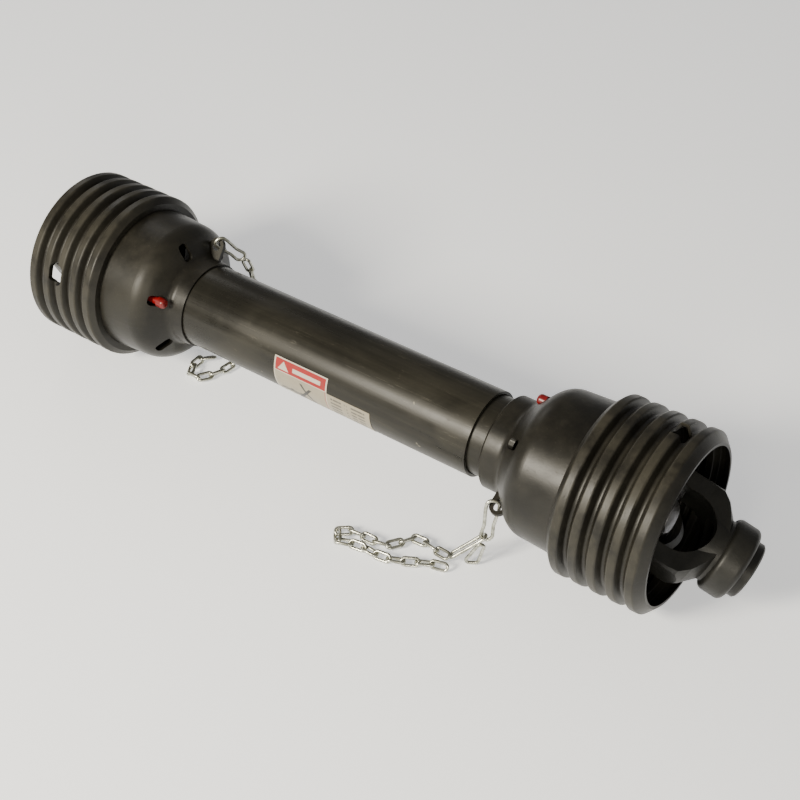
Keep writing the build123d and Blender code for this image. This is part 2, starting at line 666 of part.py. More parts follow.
def seals():
    """Four rubber seals between the cross body and the caps."""
    ring = rod_y(SEAL_RADIUS, SEAL_INNER, SEAL_OUTER)
    ring = chamfer(ring.edges().group_by(Axis.Y)[0], 1.0)
    ring = ring - rod_y(TRUNNION_RADIUS + 0.02, 0, 60)
    body = Box(2 * CROSS_BODY_HALF, 2 * CROSS_BODY_HALF, 2 * CROSS_BODY_HALF)
    ring = ring - (body & Sphere(CROSS_BODY_RADIUS))
    return [Rot(90 * k, 0, 0) * ring for k in range(4)]


def circlip_pair():
    """Two open retaining rings outside the Y caps."""
    y0 = CAP_OUTER + 0.05
    y1 = y0 + CIRCLIP_THICK
    ring = rod_y(CIRCLIP_OUTER, y0, y1) - rod_y(CIRCLIP_INNER, 0, 60)
    ring = ring - span(0, 30, y0 - 1, y1 + 1, -CIRCLIP_GAP / 2, CIRCLIP_GAP / 2)
    for turn in (-1, 1):
        z = turn * (CIRCLIP_GAP / 2 + CIRCLIP_LUG_RADIUS * 0.9)
        x = CIRCLIP_INNER - 1.4
        eye = Pos(x, 0, z) * (rod_y(CIRCLIP_LUG_RADIUS, y0, y1) - rod_y(0.9, 0, 60))
        ring = ring + eye
    return [ring, Rot(180, 0, 0) * ring]


# ---- joint poses ---------------------------------------------------------------------------
def joint_frames(side):
    """Frames of the outer yoke and of the cross, in the row frame, at rest.

    The inner yoke's ears lie along a; the outer yoke's hub points along h; the cross turns
    about a in the inner yoke, and the outer yoke turns about b on the cross.
    """
    tilt, towards = NEAR_TILT, NEAR_TILT_TOWARDS
    if side == "far":
        tilt, towards = FAR_TILT, FAR_TILT_TOWARDS
    t = math.radians(tilt)
    y, z = polar(math.sin(t), towards)
    h = Vector(math.cos(t), y, z)
    ay, az = polar(1, arm_angle(side) + 90)
    a = Vector(0, ay, az)
    b = h.cross(a).normalized()
    by, bz = polar(1, arm_angle(side))
    if b.dot(Vector(0, by, bz)) < 0:
        b = b * -1
    yoke = Location(Plane(origin=(0, 0, 0), x_dir=h, z_dir=h.cross(b)))
    x_cross = b.cross(a)
    cross_frame = Location(Plane(origin=(0, 0, 0), x_dir=x_cross, z_dir=x_cross.cross(b)))
    place = end_place(side)
    return place * yoke, place * cross_frame, place


def report_joint(side):
    """Print the joint axes at rest in the row frame, for whoever writes the joints down."""
    yoke, cross_frame, place = joint_frames(side)
    inner = place * Rot(arm_angle(side), 0, 0)
    for title, frame in (("yoke", yoke), ("cross", cross_frame), ("straight", inner)):
        plane = Plane(frame)
        axes = [[round(v, 6) for v in tuple(d)] for d in (plane.x_dir, plane.y_dir, plane.z_dir)]
        print(side, title, "x", axes[0], "y", axes[1], "z", axes[2])


# ---- hooks and chains ----------------------------------------------------------------------
def closed_wire(points, radii):
    """Round wire bent into a closed loop through corner points, each with its own bend."""
    path = FilletPolyline(*points, radius=radii, close=True)
    section = Plane(origin=path @ 0, z_dir=path % 0) * Circle(LINK_WIRE)
    return sweep(section, path=path)


def long_link(start, end, side, head, tail):
    """Long closed link, wide at its head, pinched, and narrower at its tail."""
    along = (end - start).normalized()
    across = (side - along * side.dot(along)).normalized()
    length = (end - start).length
    waist = (head + tail) * 0.36
    outline = [
        (0, -head), (length * 0.25, -head), (length * 0.62, -waist), (length, -tail),
        (length, tail), (length * 0.62, waist), (length * 0.25, head), (0, head),
    ]
    points = [start + along * u + across * v for u, v in outline]
    bends = [LINK_BEND] * len(points)
    bends[0] = bends[-1] = head * 0.9
    bends[3] = bends[4] = tail * 0.9
    return closed_wire(points, bends)


def straight_link(start, end, side, half):
    """Long closed link with parallel sides."""
    along = (end - start).normalized()
    across = (side - along * side.dot(along)).normalized()
    corners = [start - across * half, end - across * half, end + across * half,
               start + across * half]
    return closed_wire(corners, [half * 0.95] * 4)


def lug_centre(side, degrees):
    """Centre of a lug's hole in the row frame."""
    y, z = polar(LUG_CENTRE_R, degrees)
    x = LUG_CENTRE_X
    if side == "far":
        x, y = -x, -y
        return Vector(-CROSS_X + x, y, AXIS_Z + z)
    return Vector(CROSS_X + x, y, AXIS_Z + z)


def hang_link(hole, side, end, name):
    """Link through a lug's hole: one of its sides runs through the hole's centre."""
    side = Vector(*side).normalized()
    end = Vector(*end)
    along = (end - hole).normalized()
    across = (side - along * side.dot(along)).normalized()
    lift = LUG_THICKNESS / 2 + LINK_WIRE + 0.8
    start = hole + across * LINK_HALF_WIDTH - along * lift
    save(name, long_link(start, end, side, LINK_HALF_WIDTH, LINK_TAIL_HALF_WIDTH))


def near_hardware():
    """The near link, and the wire snap that grips its lower corner."""
    hole = lug_centre("near", NEAR_LUG_ANGLE)
    link_end, snap_start, snap_end = shifted([NEAR_LINK_END, NEAR_SNAP_START, NEAR_SNAP_END], "near")
    hang_link(hole, NEAR_LINK_SIDE, link_end, "near_chain_link")
    start = Vector(*snap_start)
    side = Vector(*NEAR_SNAP_SIDE).normalized()
    snap = straight_link(start, Vector(*snap_end), side, SNAP_HALF_WIDTH)
    feet = [Vector(*foot) for foot in shifted(RING_FEET, "near")]
    top = start - side * RING_STAND_OFF
    rise = (top - (feet[0] + feet[1]) * 0.5).normalized()
    ring = closed_wire([top + rise * RING_RISE] + feet, [2.7, 3.3, 3.3])
    save("near_chain_snap", snap + ring)


def cord_tube(points, radius):
    """Tube along straight runs joined by the largest tangent arcs that they allow."""
    places = [Vector(*p) for p in points]
    radii = []
    for k in range(1, len(places) - 1):
        before = places[k] - places[k - 1]
        after = places[k + 1] - places[k]
        turn = math.radians(before.get_angle(after))
        radii.append(BEND_SHARE * min(before.length, after.length) / math.tan(turn / 2))
    print("arc radii", [round(r, 1) for r in radii])
    path = FilletPolyline(*places, radius=radii)
    section = Plane(origin=path @ 0, z_dir=path % 0) * Circle(radius)
    tube = sweep(section, path=path)
    print("tube length", round(path.length, 1), "volume ratio",
          round(tube.volume / (math.pi * radius ** 2 * path.length), 4))
    return tube


# ---- label ---------------------------------------------------------------------------------
def label_patch(x0, x1, top, bottom):
    """A thin curved patch on the outer guard tube."""
    r0 = OUTER_TUBE_RADIUS + LABEL_STAND_OFF
    r1 = r0 + LABEL_THICK
    strip = make_face(Polyline((x0, r0), (x1, r0), (x1, r1), (x0, r1), close=True))
    patch = revolve(strip, axis=Axis.X, revolution_arc=bottom - top)
    return Rot(top, 0, 0) * patch


# ---- build ---------------------------------------------------------------------------------
def build_guards():
    """Both guard halves with their rings, plugs, tubes and label."""
    lift = Pos(0, 0, AXIS_Z)
    tube_end = CROSS_X + FAR_NECK_END_X
    start = -tube_end + 0.6
    outer_tube = tube_x(OUTER_TUBE_RADIUS, OUTER_TUBE_BORE, start, start + OUTER_TUBE_LENGTH)
    save("outer_guard_tube", lift * outer_tube)
    seat = CROSS_X + GROOVE_X - RING_WIDTH / 2 - 2.1
    inner_tube = tube_x(INNER_TUBE_RADIUS, INNER_TUBE_BORE, seat - INNER_TUBE_LENGTH, seat)
    save("inner_guard_tube", lift * inner_tube)
    label = label_patch(*LABEL_MAIN) + label_patch(*LABEL_SIDE)
    save("safety_label", lift * label)
    holes = {"near": (NEAR_GREASE_HOLE_X, NEAR_GREASE_HOLE_ANGLE),
             "far": (FAR_GREASE_HOLE_X, FAR_GREASE_HOLE_ANGLE)}
    cones = {"near": near_cone, "far": far_cone}
    plugs = {"near": lock_plugs(NEAR_SLOT_ANGLE, NEAR_PLUG_X),
             "far": lock_plugs(FAR_SLOT_ANGLE, FAR_PLUG_X)}
    for side in ("near", "far"):
        place = end_place(side)
        save(side + "_guard_cone", place * cones[side]())
        save(side + "_ribbed_collar", place * (collar() - grease_hole(*holes[side])))
        save(side + "_guard_bearing", place * bearing_ring())
        save(side + "_lock_plugs", Compound([place * p for p in plugs[side]]))


def build_drive():
    """Profile tubes, yokes, crosses and everything that holds them together."""
    levels = {"near": 2, "far": 0}
    names = {"near": "inner_profile_tube", "far": "outer_profile_tube"}
    for side in ("near", "far"):
        level = levels[side]
        yoke, cross_frame, place = joint_frames(side)
        inner = place * Rot(arm_angle(side) + 90, 0, 0)
        save(names[side], profile_tube(level, side))
        save(side + "_inner_yoke", inner_yoke(level, side))
        save(side + "_roll_pin", place * roll_pin(side))
        save(side + "_outer_yoke", yoke * outer_yoke())
        save(side + "_push_pin", yoke * push_pin())
        save(side + "_push_pin_bush", yoke * push_pin_bush())
        save(side + "_push_pin_spring", yoke * push_pin_spring())
        save(side + "_cross", cross_frame * cross())
        save(side + "_grease_nipple", cross_frame * grease_nipple())
        save(side + "_cross_seals", Compound([cross_frame * s for s in seals()]))
        groups = (("bearing_caps", cap_pair), ("needle_sleeves", needle_pair),
                  ("circlips", circlip_pair))
        for title, make in groups:
            save(side + "_inner_" + title, Compound([inner * s for s in make()]))
            save(side + "_outer_" + title, Compound([yoke * s for s in make()]))
        report_joint(side)


def build_chains():
    """The two tether chains with their hooks."""
    save("near_chain", cord_tube(shifted(NEAR_CHAIN, "near"), CHAIN_RADIUS))
    save("far_chain", cord_tube(shifted(FAR_CHAIN, "far"), CHAIN_RADIUS))
    near_hardware()
    far_end = shifted([FAR_LINK_END], "far")[0]
    hang_link(lug_centre("far", FAR_LUG_ANGLE), FAR_LINK_SIDE, far_end, "far_chain_link")


os.makedirs(OUT, exist_ok=True)
build_guards()
build_drive()
build_chains()
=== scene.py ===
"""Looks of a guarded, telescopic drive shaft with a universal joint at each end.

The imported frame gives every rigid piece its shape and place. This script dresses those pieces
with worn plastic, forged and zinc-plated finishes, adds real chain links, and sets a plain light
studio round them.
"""

import logging
import math
import random
from dataclasses import dataclass, field
from enum import Enum

import bmesh
import bpy
from mathutils import Matrix, Vector


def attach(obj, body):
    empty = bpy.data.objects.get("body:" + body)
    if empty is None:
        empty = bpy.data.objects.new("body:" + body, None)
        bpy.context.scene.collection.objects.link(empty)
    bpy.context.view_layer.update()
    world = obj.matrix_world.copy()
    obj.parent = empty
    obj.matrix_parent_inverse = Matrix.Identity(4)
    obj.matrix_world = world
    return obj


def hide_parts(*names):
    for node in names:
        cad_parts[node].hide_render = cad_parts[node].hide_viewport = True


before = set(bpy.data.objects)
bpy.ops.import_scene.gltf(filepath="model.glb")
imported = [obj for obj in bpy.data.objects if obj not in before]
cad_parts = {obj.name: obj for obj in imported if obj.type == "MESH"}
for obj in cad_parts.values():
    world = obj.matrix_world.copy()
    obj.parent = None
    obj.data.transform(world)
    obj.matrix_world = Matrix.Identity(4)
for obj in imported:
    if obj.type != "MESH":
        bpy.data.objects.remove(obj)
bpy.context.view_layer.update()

MM = 0.001
AXIS_HEIGHT = 0.0815
CREST_RADIUS = AXIS_HEIGHT
FLOOR_POINT = 5.0
CHAIN_LIFT = 4.6
LOG = logging.getLogger("drive_shaft")

Number = float | int
Colour = tuple[float, float, float]
Point = tuple[float, float, float]


class Body(Enum):
    """Moving bodies that the chains ride on."""

    FAR_GUARD = "far_guard"
    NEAR_GUARD = "near_guard"


class Grain(Enum):
    """Direction in which a plastic piece's rub marks run."""

    ALONG = (6.0, 150.0, 150.0)
    ROUND = (150.0, 22.0, 22.0)
    LOOSE = (40.0, 55.0, 70.0)


# ---- shader expressions -----------------------------------------------------------------------
class Wire:
    """A shader socket that takes part in Python arithmetic."""

    def __init__(self, graph: "Graph", socket: bpy.types.NodeSocket) -> None:
        """Keeps the graph that the socket belongs to.

        Args:
            graph: The node graph.
            socket: An output socket of one of its nodes.
        """
        self.graph = graph
        self.socket = socket

    def maths(self, operation: str, *others: "Wire | Number", clamp: bool = False) -> "Wire":
        """Adds one Math node.

        Args:
            operation: The node's operation.
            others: Further operands.
            clamp: Whether the result is held between 0 and 1.

        Returns:
            The node's result.
        """
        values = dict(enumerate((self, *others)))
        settings = {"operation": operation, "use_clamp": clamp}
        return self.graph.node("ShaderNodeMath", settings, values)

    def __add__(self, other: "Wire | Number") -> "Wire":
        """Sum."""
        return self.maths("ADD", other)

    def __radd__(self, other: Number) -> "Wire":
        """Sum with a number on the left."""
        return self.maths("ADD", other)

    def __sub__(self, other: "Wire | Number") -> "Wire":
        """Difference."""
        return self.maths("SUBTRACT", other)

    def __rsub__(self, other: Number) -> "Wire":
        """Difference from a number."""
        return self.graph.number(other).maths("SUBTRACT", self)

    def __mul__(self, other: "Wire | Number") -> "Wire":
        """Product."""
        return self.maths("MULTIPLY", other)

    def __rmul__(self, other: Number) -> "Wire":
        """Product with a number on the left."""
        return self.maths("MULTIPLY", other)

    def __truediv__(self, other: "Wire | Number") -> "Wire":
        """Quotient."""
        return self.maths("DIVIDE", other)

    def __rtruediv__(self, other: Number) -> "Wire":
        """Quotient of a number."""
        return self.graph.number(other).maths("DIVIDE", self)

    def __pow__(self, other: "Wire | Number") -> "Wire":
        """Power."""
        return self.maths("POWER", other)

    def __neg__(self) -> "Wire":
        """Negative."""
        return self.maths("MULTIPLY", -1.0)

    def __abs__(self) -> "Wire":
        """Absolute value."""
        return self.maths("ABSOLUTE")

    def clamp(self) -> "Wire":
        """Held between 0 and 1."""
        return self.maths("ADD", 0.0, clamp=True)

    def step(self, low: Number, high: Number) -> "Wire":
        """Smooth step from 0 at low to 1 at high; high may be the lower number.

        Args:
            low: Where the result is 0.
            high: Where the result is 1.

        Returns:
            The smooth step.
        """
        ramp = ((self - low) / (high - low)).clamp()
        return ramp * ramp * (3.0 - 2.0 * ramp)

    def within(self, low: Number, high: Number, soft: Number) -> "Wire":
        """1 between two values and 0 outside them.

        Args:
            low: Lower value.
            high: Upper value.
            soft: Width of the soft edge.

        Returns:
            The mask.
        """
        return self.step(low - soft, low + soft) * self.step(high + soft, high - soft)


class Graph:
    """A material's node graph with one Principled surface."""

    def __init__(self, name: str) -> None:
        """Makes the material.

        Args:
            name: The material's name.
        """
        self.material = bpy.data.materials.new(name)
        self.material.use_nodes = True
        self.tree = self.material.node_tree
        self.tree.nodes.clear()
        self.output = self.tree.nodes.new("ShaderNodeOutputMaterial")
        self.shader = self.tree.nodes.new("ShaderNodeBsdfPrincipled")
        self.tree.links.new(self.shader.outputs["BSDF"], self.output.inputs["Surface"])

    def node(
        self,
        kind: str,
        settings: dict[str, object] | None = None,
        values: dict[str | int, object] | None = None,
        output: str | int = 0,
    ) -> Wire:
        """Adds a node of any kind.

        Args:
            kind: The node's type.
            settings: Its properties, set first.
            values: Numbers, colours or wires for its input sockets.
            output: Which output is wanted.

        Returns:
            That output.
        """
        node = self.tree.nodes.new(kind)
        for key, value in (settings or {}).items():
            setattr(node, key, value)
        for key, value in (values or {}).items():
            self.feed(node.inputs[key], value)
        return Wire(self, node.outputs[output])

    def feed(self, socket: bpy.types.NodeSocket, value: object) -> None:
        """Links or sets an input socket.

        Args:
            socket: The input.
            value: A wire, a number, or a tuple of numbers.
        """
        if isinstance(value, Wire):
            self.tree.links.new(value.socket, socket)
        elif isinstance(value, tuple) and len(value) == 3 and socket.type == "RGBA":
            socket.default_value = (*value, 1.0)
        else:
            socket.default_value = value

    def number(self, value: Number) -> Wire:
        """A constant as a wire."""
        return self.node("ShaderNodeMath", {"operation": "ADD"}, {0: float(value), 1: 0.0})

    def place(self) -> Wire:
        """Position in the object's own frame, in metres."""
        return self.node("ShaderNodeTexCoord", output="Object")

    def parts(self, vector: Wire) -> tuple[Wire, Wire, Wire]:
        """Splits a vector into its three numbers."""
        first = self.node("ShaderNodeSeparateXYZ", values={0: vector})
        _, second, third = first.socket.node.outputs
        return first, Wire(self, second), Wire(self, third)

    def stretched(self, scale: Point, shift: Point = (0.0, 0.0, 0.0)) -> Wire:
        """Position scaled by a different number along each axis.

        Args:
            scale: Factors along X, Y and Z.
            shift: Added afterwards.

        Returns:
            The scaled position.
        """
        values = {0: self.place(), 1: scale}
        scaled = self.node("ShaderNodeVectorMath", {"operation": "MULTIPLY"}, values)
        return self.node("ShaderNodeVectorMath", {"operation": "ADD"}, {0: scaled, 1: shift})

    def noise(self, scale: Number, detail: Number = 4.0, vector: Wire | None = None,
              rough: Number = 0.55, bend: Number = 0.0) -> Wire:
        """Cloudy noise from 0 to 1.

        Args:
            scale: Features per metre.
            detail: Layers of finer noise.
            vector: Where it is looked up, instead of the position.
            rough: Strength of the finer layers.
            bend: Distortion.

        Returns:
            The noise.
        """
        values = {
            "Vector": vector if vector is not None else self.place(),
            "Scale": float(scale), "Detail": float(detail), "Roughness": float(rough),
            "Distortion": float(bend),
        }
        return self.node("ShaderNodeTexNoise", {}, values)

    def mix(self, factor: Wire | Number, a: Wire | Colour, b: Wire | Colour) -> Wire:
        """Mixes two colours.

        Args:
            factor: 0 gives a, 1 gives b.
            a: A colour or wire.
            b: A colour or wire.

        Returns:
            The colour.
        """
        values = {0: factor, 6: a, 7: b}
        return self.node("ShaderNodeMix", {"data_type": "RGBA"}, values, output=2)

    def bump(self, height: Wire, distance: Number, strength: Number = 1.0,
             below: Wire | None = None) -> Wire:
        """Relief on the surface.

        Args:
            height: Height from 0 to 1.
            distance: Real height of 1, in metres.
            strength: Strength of the effect.
            below: Another relief that this one lies on.

        Returns:
            The normal.
        """
        values: dict[str | int, object] = {
            "Height": height, "Distance": float(distance), "Strength": float(strength),
        }
        if below is not None:
            values["Normal"] = below
        return self.node("ShaderNodeBump", {}, values)

    def surface(self, **values: object) -> bpy.types.Material:
        """Feeds the Principled surface; underscores stand for spaces.

        Args:
            values: Socket values or wires.

        Returns:
            The material.
        """
        for key, value in values.items():
            self.feed(self.shader.inputs[key.replace("_", " ")], value)
        return self.material

    def polar(self) -> tuple[Wire, Wire, Wire]:
        """Shaft coordinates: x along the axis, radius, and degrees above the front (-Y) side."""
        x, y, z = self.parts(self.place())
        up = z - AXIS_HEIGHT
        radius = (y * y + up * up) ** 0.5
        turn = up.maths("ARCTAN2", -y) * (180.0 / math.pi)
        return x, radius, turn


# ---- finishes ---------------------------------------------------------------------------------
@dataclass(frozen=True)
class MouldedPlastic:
    """Black guard plastic that has been handled, dragged and dusted; given a crest radius, its
    rib crests are lightened by rubbing and a painted highlight.
    """

    name: str
    grain: Grain = Grain.LOOSE
    dark: Colour = (0.0060, 0.0055, 0.0042)
    light: Colour = (0.0185, 0.0170, 0.0125)
    # Colour of the rub marks, also used for the painted highlight on the rib crests.
    rub: Colour = (0.060, 0.055, 0.040)
    dust_colour: Colour = (0.11, 0.098, 0.072)
    roughness: float = 0.37
    gloss: float = 0.26
    crest: float = 0.0
    crest_depth: float = 0.0022
    seed: float = 0.0

    def build(self) -> bpy.types.Material:
        """Builds the material."""
        g = Graph(self.name)
        cloud = g.noise(11, 6, g.stretched((1, 1, 1), (self.seed, 0.3, 0.7)), bend=0.6)
        patches = g.noise(38, 5, g.stretched((1, 1, 1), (0.2, self.seed, 0.1)), rough=0.65)
        tone = (cloud * 0.65 + patches * 0.35).step(0.33, 0.68)
        base = g.mix(tone, self.dark, self.light)
        lines = g.noise(9, 5, g.stretched(self.grain.value, (self.seed, 0, 0)), rough=0.6)
        fine = g.noise(31, 3, g.stretched(self.grain.value, (0, self.seed, 0)), rough=0.7)
        scratch = (lines.step(0.60, 0.72) * 0.55 + fine.step(0.66, 0.74) * 0.8)
        worn = scratch * patches.step(0.45, 0.62)
        wear_and_crest_sheen = worn.clamp()
        # Rib crests lightened by radius: partly rubbing, partly a painted highlight for the thin
        # lines of light along each crest.
        if self.crest:
            _, radius, _ = g.polar()
            crest_rub_and_sheen = radius.step(self.crest - self.crest_depth, self.crest - 0.2 * MM)
            wear_and_crest_sheen = (wear_and_crest_sheen + crest_rub_and_sheen * patches.step(0.36, 0.6) * 0.45).clamp()
        # Mixes in the rub marks together with the painted crest highlight.
        base = g.mix(wear_and_crest_sheen * 0.6, base, self.rub)
        _, _, up = g.parts(g.node("ShaderNodeNewGeometry", output="Normal"))
        dust = up.step(0.1, 0.95) * g.noise(22, 7, rough=0.7).step(0.42, 0.75)
        base = g.mix(dust * 0.12, base, self.dust_colour)
        rough = self.roughness + (tone - 0.5) * 0.10 + wear_and_crest_sheen * 0.12 + dust * 0.14
        grain = g.noise(1500, 2)
        relief = g.bump(grain, 0.00012, 0.30)
        relief = g.bump(patches, 0.0009, 0.22, relief)
        relief = g.bump(scratch, 0.00012, 0.5, relief)
        return g.surface(
            Base_Color=base, Roughness=rough, Normal=relief, Specular_IOR_Level=self.gloss,
        )


@dataclass(frozen=True)
class ExtrudedTube:
    """Black guard tube: drawn lines along it, rubbed bands and a few pale nicks."""

    name: str
    dark: Colour = (0.0095, 0.0088, 0.0064)
    light: Colour = (0.0260, 0.0238, 0.0172)
    rub: Colour = (0.080, 0.073, 0.052)
    scratch_colour: Colour = (0.13, 0.12, 0.092)
    nick_colour: Colour = (0.30, 0.28, 0.22)
    roughness: float = 0.34
    gloss: float = 0.26
    seed: float = 0.0

    def build(self) -> bpy.types.Material:
        """Builds the material."""
        g = Graph(self.name)
        cloud = g.noise(7, 6, g.stretched((1, 2.2, 2.2), (self.seed, 0, 0)), bend=0.8)
        drawn = g.noise(12, 4, g.stretched((0.6, 22, 22), (0, self.seed, 0)), rough=0.6)
        tone = (cloud * 0.78 + drawn * 0.22).step(0.34, 0.68)
        base = g.mix(tone, self.dark, self.light)
        scuff = g.noise(8, 5, g.stretched((5, 30, 30), (0.4, self.seed, 0)), rough=0.75)
        cross = g.noise(14, 4, g.stretched((14, 5, 5), (self.seed, 0.9, 0)), rough=0.7)
        worn = (scuff.step(0.60, 0.73) * 0.8 + cross.step(0.64, 0.72) * 0.5)
        worn = (worn * cloud.step(0.38, 0.58)).clamp()
        base = g.mix(worn * 0.45, base, self.rub)
        line = g.noise(5, 2, g.stretched((1.6, 60, 60), (self.seed, 0.4, 0.2)), bend=0.3)
        scratch = line.within(0.640, 0.646, 0.003) * cloud.step(0.40, 0.55)
        base = g.mix(scratch * 0.5, base, self.scratch_colour)
        nick = g.noise(60, 2, g.stretched((1, 1, 1), (self.seed, 0.1, 0.5))).step(0.752, 0.785)
        base = g.mix(nick * 0.8, base, self.nick_colour)
        rough = self.roughness + (tone - 0.5) * 0.16 + worn * 0.14 + nick * 0.2
        relief = g.bump(drawn, 0.0003, 0.22)
        relief = g.bump(g.noise(900, 3), 0.0001, 0.3, relief)
        relief = g.bump(worn, 0.00015, 0.5, relief)
        return g.surface(
            Base_Color=base, Roughness=rough, Normal=relief, Specular_IOR_Level=self.gloss,
        )


@dataclass(frozen=True)
class PaintedForging:
    """Black paint over a forged surface, worn to steel in scattered chips."""

    name: str
    paint: Colour = (0.0085, 0.0084, 0.0072)
    faded: Colour = (0.0170, 0.0165, 0.0140)
    bare: Colour = (0.20, 0.19, 0.18)
    roughness: float = 0.42
    gloss: float = 0.30

    def build(self) -> bpy.types.Material:
        """Builds the material."""
        g = Graph(self.name)
        scale = g.noise(190, 6, rough=0.6)
        wide = g.noise(34, 4)
        chips = g.noise(120, 5, rough=0.75).step(0.69, 0.72) * wide.step(0.5, 0.64)
        tone = g.mix(wide.step(0.35, 0.7), self.paint, self.faded)
        base = g.mix(chips, tone, self.bare)
        rough = self.roughness + (scale - 0.5) * 0.22 - chips * 0.05
        relief = g.bump(scale, 0.0006, 0.45)
        relief = g.bump(g.noise(700, 3), 0.00018, 0.35, relief)
        return g.surface(
            Base_Color=base, Roughness=rough, Metallic=chips * 0.8, Normal=relief,
            Specular_IOR_Level=self.gloss,
        )


@dataclass(frozen=True)
class BareSteel:
    """Ground, drawn or spring steel with an oil film."""

    name: str
    colour: Colour = (0.34, 0.33, 0.32)
    stain: Colour = (0.13, 0.105, 0.08)
    roughness: float = 0.30
    lines: Point = (30.0, 30.0, 30.0)

    def build(self) -> bpy.types.Material:
        """Builds the material."""
        g = Graph(self.name)
        oil = g.noise(45, 6, rough=0.65)
        marks = g.noise(10, 4, g.stretched(self.lines), rough=0.6)
        base = g.mix(oil.step(0.42, 0.72) * 0.6, self.colour, self.stain)
        rough = self.roughness + (marks - 0.5) * 0.22 + oil.step(0.5, 0.8) * 0.15
        relief = g.bump(marks, 0.0002, 0.35)
        relief = g.bump(g.noise(600, 2), 0.00008, 0.3, relief)
        return g.surface(Base_Color=base, Roughness=rough, Metallic=0.95, Normal=relief)


@dataclass(frozen=True)
class ZincWire:
    """Bright zinc plating on bent wire, dulled in patches."""

    name: str
    bright: Colour = (0.58, 0.58, 0.51)
    dull: Colour = (0.27, 0.27, 0.22)
    speck: Colour = (0.20, 0.19, 0.15)
    roughness: float = 0.19

    def build(self) -> bpy.types.Material:
        """Builds the material."""
        g = Graph(self.name)
        cloud = g.noise(150, 5, rough=0.6)
        specks = g.noise(620, 3, rough=0.7).step(0.62, 0.70)
        base = g.mix(cloud.step(0.38, 0.66), self.bright, self.dull)
        base = g.mix(specks * 0.5, base, self.speck)
        rough = self.roughness + cloud.step(0.4, 0.7) * 0.18 + specks * 0.2
        relief = g.bump(cloud, 0.0001, 0.4)
        return g.surface(Base_Color=base, Roughness=rough, Metallic=0.92, Normal=relief)


@dataclass(frozen=True)
class GlossPlastic:
    """Small coloured plastic pieces, nylon and rubber."""

    name: str
    colour: Colour
    shade: Colour
    grime_colour: Colour = (0.03, 0.025, 0.02)
    roughness: float = 0.30
    pores: float = 0.00006

    def build(self) -> bpy.types.Material:
        """Builds the material."""
        g = Graph(self.name)
        cloud = g.noise(90, 5, rough=0.6)
        grime = g.noise(260, 4, rough=0.7).step(0.56, 0.72)
        base = g.mix(cloud.step(0.35, 0.7), self.colour, self.shade)
        base = g.mix(grime * 0.45, base, self.grime_colour)
        rough = self.roughness + (cloud - 0.5) * 0.2 + grime * 0.2
        relief = g.bump(g.noise(1100, 2), self.pores, 0.4)
        return g.surface(Base_Color=base, Roughness=rough, Normal=relief)


